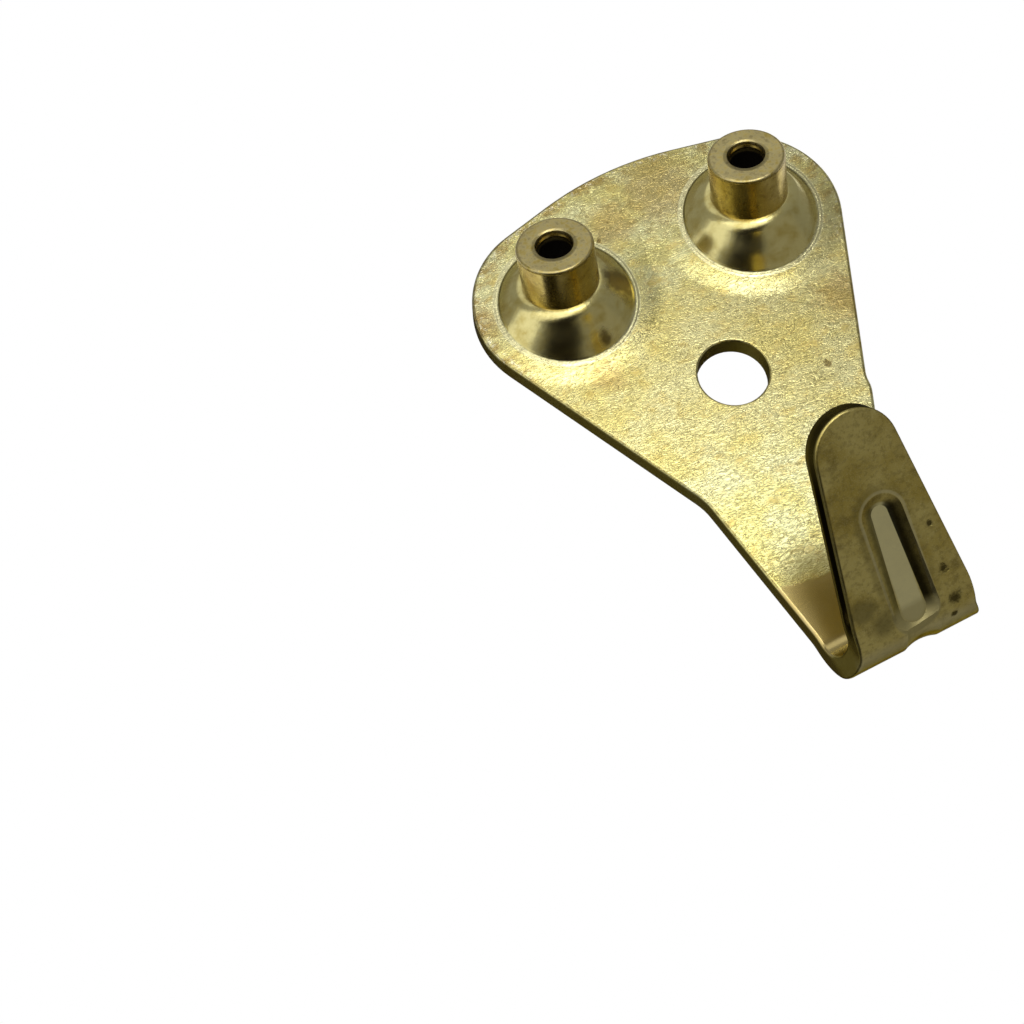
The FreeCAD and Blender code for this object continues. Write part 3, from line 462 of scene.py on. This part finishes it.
def plated_sheet():
    """Brass-plated pressed steel: bright and crinkled on the plate, smooth where the press bore on it."""
    paint = Paint("brass_plated_pressed_steel")
    tree = paint.tree
    patterns = sheet_patterns(paint)
    start_level = BEND_LEVEL - BEND_RADIUS * math.sin(TONGUE_LEAN)
    start_front = BEND_RADIUS + BEND_RADIUS * math.cos(TONGUE_LEAN)
    along, over = leaning(paint, start_level, start_front, TONGUE_LEAN)
    zones = press_zones(paint, patterns.patchy)
    rib = rib_zones(paint, zones.tongue, along, over)
    sheared = sheared_zones(paint, zones, rib, along, over)
    creases = plate_creases(paint, zones.rough)

    outside_boss = add(tree, "MapRange", SMOOTH, (paint.front, SHEET + 0.05, SHEET + 0.3))
    # Darker brown spots on the left boss, where its polish is also duller.
    dark_spots = spots(tree, paint.x, paint.z, BOSS_DARK_SPOTS, patterns.patchy)
    boss_dark_spot = overlap(tree, dark_spots, zones.boss, outside_boss)
    pits = overlap(tree, spots(tree, paint.x, along, TONGUE_PITS, patterns.ragged), rib.face)
    smudges = overlap(tree, spots(tree, paint.x, along, TONGUE_SMUDGES, patterns.patchy), rib.face)
    plate = plate_colour(paint, patterns, zones, sheared, creases)
    colour = coat(tree, plate, [(zones.boss, 1.0, boss_colour(paint, patterns, boss_dark_spot)),
                                (zones.tongue, 1.0, tongue_colour(paint, patterns, rib)),
                                (zones.inside, 0.8, "#C9B071"),
                                # Cut edges and the tongue's flanks darkened, partly as raw cut steel and
                                # partly as painted shade.
                                (sheared.cut, 0.92, "#57502E"),
                                # Painted shade: the near-black band along the tongue's flank.
                                (sheared.painted_shade_band, 0.9, "#120E07"),
                                (smudges, 0.6, "#6B6139"),
                                (pits, 0.85, "#332B12")])

    plate_roughness = add(tree, "MapRange", SMOOTH, (patterns.patchy, 0.3, 0.7, 0.2, 0.28))
    tongue_roughness = add(tree, "MapRange", SMOOTH, (patterns.broad, 0.3, 0.7, 0.28, 0.4))
    boss_roughness = add(tree, "MapRange", SMOOTH, (patterns.patchy, 0.3, 0.7, 0.2, 0.27))
    roughness = wear(tree, plate_roughness, [(zones.tongue, tongue_roughness),
                                             (zones.boss, boss_roughness),
                                             (boss_dark_spot, 0.45),
                                             (rib.foot, 0.6),
                                             (zones.inside, 0.24),
                                             (sheared.cut, 0.46)])
    edge_tint = coat(tree, "#FFFFFF", [(zones.tongue, 1.0, "#6F6A58"), (sheared.cut, 1.0, "#4A4226")])
    normal = sheet_relief(paint, patterns, zones, creases, pits)
    bare_metal(tree, colour, roughness, normal, edge_tint)
    return paint.material


def turned_brass(name, side):
    """Golden turned brass with fine lathe lines around its axis, a satin end and a dull bore darkened to
    near black as painted shade.
    """
    paint = Paint(name)
    tree = paint.tree
    up, over = leaning(paint, GUIDE_LEVEL, SHEET, -GUIDE_TILT)
    away = distance(tree, paint.x, side, up, 0.0)
    broad = mottling(paint, (2.2, 2.2, 2.2), 3.0, 0.6)
    patchy = mottling(paint, (0.5, 0.5, 0.5), 4.0, 0.65)
    end = add(tree, "MapRange", SMOOTH, (over, GUIDE_TOP - 0.35, GUIDE_TOP - 0.1))
    deep = add(tree, "MapRange", SMOOTH, (over, GUIDE_TOP - 0.4, GUIDE_TOP - 1.1))
    bore = overlap(tree, add(tree, "MapRange", SMOOTH, (away, BORE_RADIUS + 0.1, BORE_RADIUS + 0.02)), deep)
    rounded_mouth = overlap(tree, add(tree, "MapRange", SMOOTH, (away, BORE_RADIUS, BORE_RADIUS + 0.6)), end)

    drift = add(tree, "MapRange", SMOOTH, (broad, 0.36, 0.66))
    pale_end = overlap(tree, end, add(tree, "MapRange", SMOOTH, (patchy, 0.3, 0.6)))
    foot = add(tree, "MapRange", SMOOTH, (over, GUIDE_FOOT + 0.6, GUIDE_FOOT + 0.1))
    most_at_foot = joined(tree, foot, 0.5)
    tarnish = overlap(tree, add(tree, "MapRange", SMOOTH, (patchy, 0.48, 0.7)), most_at_foot)
    colour = coat(tree, "#CFBA70", [(drift, 1.0, "#B6A053"),
                                    (pale_end, 0.8, "#D3C795"),
                                    (tarnish, 1.0, "#7E6632"),
                                    # Painted shade: the bore darkened to near black.
                                    (bore, 1.0, "#1D160B")])

    lines_over = add(tree, "Math", TIMES, (over, LATHE_LINES))
    lines_away = add(tree, "Math", TIMES, (away, LATHE_LINES))
    lathe = add(tree, "CombineXYZ", {}, (lines_over, lines_away))
    rings = add(tree, "TexNoise", {"noise_dimensions": "2D"}, {"Vector": lathe, "Scale": 1.0, "Detail": 3.0})
    normal = emboss(tree, [(rounded_mouth, 0.2), (rings, 0.006), (patchy, 0.006)])
    side_roughness = add(tree, "MapRange", SMOOTH, (patchy, 0.3, 0.7, 0.18, 0.28))
    end_roughness = add(tree, "MapRange", SMOOTH, (patchy, 0.3, 0.7, 0.28, 0.4))
    roughness = wear(tree, side_roughness, [(end, end_roughness), (bore, 0.7)])
    bare_metal(tree, colour, roughness, normal, linear("#FFFFFF"))
    return paint.material


def dress(node, material):
    """Give a solid its finish."""
    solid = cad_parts[node]
    if not solid.material_slots:
        solid.data.materials.append(None)
    for slot in solid.material_slots:
        slot.material = material


def stage_mesh(name, points, faces, material):
    """Object of the studio, which is no part of the hook."""
    mesh = bpy.data.meshes.new(name)
    mesh.from_pydata(points, [], faces)
    for face in mesh.polygons:
        face.use_smooth = True
    made = bpy.data.objects.new(name, mesh)
    bpy.context.scene.collection.objects.link(made)
    made.data.materials.append(material)
    return made


def white_paper():
    """Matt white paper that the camera, and what reflects it, see as clean white."""
    paint = Paint("white_paper")
    tree = paint.tree
    cloudy = mottling(paint, (14.0, 14.0, 14.0), 2.0)
    paper = add(tree, "BsdfDiffuse", {}, {"Color": coat(tree, "#F1F1EF", [(cloudy, 1.0, "#F6F6F4")])})
    clean = add(tree, "Emission", {}, {"Color": linear("#FFFFFF"), "Strength": 1.0})
    rays = add(tree, "LightPath", {}, {}).node.outputs
    seen = joined(tree, rays["Is Camera Ray"], rays["Is Glossy Ray"], rays["Is Transmission Ray"])
    surface = add(tree, "MixShader", {}, (seen, paper, clean))
    add(tree, "OutputMaterial", {}, {"Surface": surface})
    return paint.material


def studio_cove():
    """Pale floor that sweeps up into a curved wall behind the part, open towards the front and the sides."""
    # Sizes in metres, then counts of faces, then the turns of its two ends in degrees
    radius, floor_level, top_level, sweep = 0.55, -0.42, 0.56, 0.2
    sweep_steps, turn_steps = 8, 32
    first_turn, last_turn = 20, 160
    profile = [(0.0, floor_level), (radius - sweep, floor_level)]
    for step in range(1, sweep_steps + 1):
        turn = math.radians(90 * step / sweep_steps)
        profile.append((radius - sweep + sweep * math.sin(turn), floor_level + sweep * (1 - math.cos(turn))))
    profile.append((radius, top_level))
    points = []
    for step in range(turn_steps + 1):
        angle = math.radians(first_turn + (last_turn - first_turn) * step / turn_steps)
        points += [(reach * math.cos(angle), reach * math.sin(angle), height) for reach, height in profile]
    faces = []
    for step in range(turn_steps):
        for place in range(len(profile) - 1):
            corner = step * len(profile) + place
            faces.append((corner, corner + 1, corner + 1 + len(profile), corner + len(profile)))
    stage_mesh("studio_cove", points, faces, white_paper())


def graded_card():
    """Card under the part, dark on the camera's side, that the tongue, the bend and the bosses mirror."""
    # Level and half width in metres, then the ends of the grading in millimetres and its slant
    level, half = -0.13, 0.26
    dark_end, light_end, slant = -62.0, -18.0, 0.35
    points = [(-half, -half, level), (half, -half, level), (half, half, level), (-half, half, level)]
    paint = Paint("graded_card")
    tree = paint.tree
    to_the_right = add(tree, "Math", TIMES_PLUS, (paint.y, slant, paint.x))
    light = add(tree, "MapRange", SMOOTH, (to_the_right, dark_end, light_end))
    tone = coat(tree, "#0E0902", [(light, 1.0, "#8C8A83")])
    shade = add(tree, "Emission", {}, {"Color": tone, "Strength": 1.0})
    add(tree, "OutputMaterial", {}, {"Surface": shade})
    card = stage_mesh("graded_card", points, [(0, 1, 2, 3)], paint.material)
    card.visible_camera = False
    card.visible_shadow = False


def soft_room():
    """Quiet room light, a little lighter overhead."""
    world = bpy.data.worlds.new("soft_room")
    bpy.context.scene.world = world
    tree = empty_tree(world)
    direction = add(tree, "TexCoord", {}, {}, "Generated")
    height = add(tree, "SeparateXYZ", {}, (direction,), "Z")
    to_middle = add(tree, "MapRange", {}, (height, -1.0, 0.0))
    to_top = add(tree, "MapRange", {}, (height, 0.0, 1.0))
    tone = coat(tree, "#737371", [(to_middle, 1.0, "#8A8A87"), (to_top, 1.0, "#959592")])
    shade = add(tree, "Background", {}, {"Color": tone})
    add(tree, "OutputWorld", {}, {"Surface": shade})


def softbox(name, azimuth, elevation, size, radiance):
    """Lamp turned to the part, its oblong face in metres; the azimuth runs to the right from the front."""
    reach = 0.5
    lamp = bpy.data.lights.new(name, "AREA")
    lamp.shape = "RECTANGLE"
    lamp.size, lamp.size_y = size
    lamp.energy = radiance * math.pi * size[0] * size[1]
    holder = bpy.data.objects.new(name, lamp)
    bpy.context.scene.collection.objects.link(holder)
    turn, lift = math.radians(azimuth), math.radians(elevation)
    holder.location = (reach * math.sin(turn) * math.cos(lift), -reach * math.cos(turn) * math.cos(lift),
                       reach * math.sin(lift))
    holder.rotation_euler = holder.location.to_track_quat("Z", "Y").to_euler()
    holder.visible_camera = False


def photo_camera():
    """Camera of the photograph: it looks up and to the right, and leans over."""
    lens = bpy.data.cameras.new("photo_camera")
    lens.sensor_width = CAMERA_SENSOR
    lens.lens = CAMERA_LENS
    lens.clip_start = 0.01
    camera = bpy.data.objects.new("photo_camera", lens)
    bpy.context.scene.collection.objects.link(camera)
    turn, lift = math.radians(CAMERA_TURN), math.radians(CAMERA_LIFT)
    look = Vector((math.sin(turn) * math.cos(lift), math.cos(turn) * math.cos(lift), math.sin(lift)))
    place = Matrix.Translation(Vector(CAMERA_PLACE) / MM_PER_METRE)
    roll = Matrix.Rotation(math.radians(CAMERA_ROLL), 4, "Z")
    camera.matrix_world = place @ look.to_track_quat("-Z", "Y").to_matrix().to_4x4() @ roll
    bpy.context.scene.camera = camera


dress("hook_plate", plated_sheet())
dress("left_nail_guide", turned_brass("turned_brass_left", -GUIDE_SIDE))
dress("right_nail_guide", turned_brass("turned_brass_right", GUIDE_SIDE))

studio_cove()
graded_card()
soft_room()
softbox("front_softbox", -10.0, 3.5, (0.51, 0.45), 1.15)
softbox("left_softbox", -66.0, 8.0, (0.56, 0.36), 0.75)
softbox("key_softbox", 9.0, 7.0, (0.15, 0.14), 3.5)
softbox("top_softbox", 14.0, 46.0, (0.36, 0.22), 0.5)
photo_camera()
bpy.context.scene.view_settings.view_transform = "Standard"
